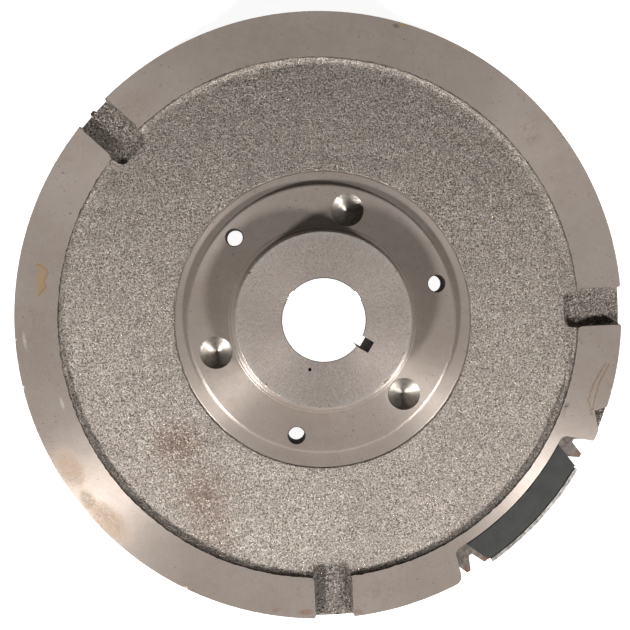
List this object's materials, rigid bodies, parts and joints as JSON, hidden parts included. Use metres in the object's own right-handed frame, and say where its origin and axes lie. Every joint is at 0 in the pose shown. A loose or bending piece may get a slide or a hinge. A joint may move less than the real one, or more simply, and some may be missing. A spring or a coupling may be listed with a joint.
{
  "type": "engine flywheel",
  "caption": "Cast-iron engine flywheel with a machined rim, recessed web, tapered keyed hub, starter ring gear, ignition magnet and charging rotor magnets.",
  "frame": {"origin": "on the crankshaft axis, at the plane of the rim's rear face that the flywheel lies on", "axes": "+Z along the crankshaft axis out of the front (fan) side; +X to the first rim notch within 3 degrees; right-handed"},
  "size_m": [0.253, 0.253, 0.0429],
  "materials": {
    "cast_iron": "as cast with turned faces, light rust",
    "gear_steel": "machined teeth, brown tarnish",
    "ferrite": "ground matt dark grey-green",
    "rotor_ferrite": "ground matt dark grey",
    "pole_steel": "ground sheet steel",
    "retainer_steel": "pressed sheet steel",
    "screw_zinc": "dull zinc plated"
  },
  "bodies": {
    "root": {"flywheel_casting": "cast_iron", "starter_ring_gear": "gear_steel", "ignition_magnet": "ferrite", "magnet_pole_shoe": "pole_steel", "pole_shoe_screw_1": "screw_zinc", "pole_shoe_screw_2": "screw_zinc", "rotor_magnet_01": "rotor_ferrite", "rotor_magnet_02": "rotor_ferrite", "rotor_magnet_03": "rotor_ferrite", "rotor_magnet_04": "rotor_ferrite", "rotor_magnet_05": "rotor_ferrite", "rotor_magnet_06": "rotor_ferrite", "rotor_magnet_07": "rotor_ferrite", "rotor_magnet_08": "rotor_ferrite", "rotor_magnet_09": "rotor_ferrite", "rotor_magnet_10": "rotor_ferrite", "rotor_magnet_11": "rotor_ferrite", "rotor_magnet_12": "rotor_ferrite", "magnet_retainer_ring": "retainer_steel", "retainer_screw_1": "screw_zinc", "retainer_screw_2": "screw_zinc", "retainer_screw_3": "screw_zinc", "retainer_screw_4": "screw_zinc", "retainer_screw_5": "screw_zinc", "retainer_screw_6": "screw_zinc"}
  },
  "joints": []
}
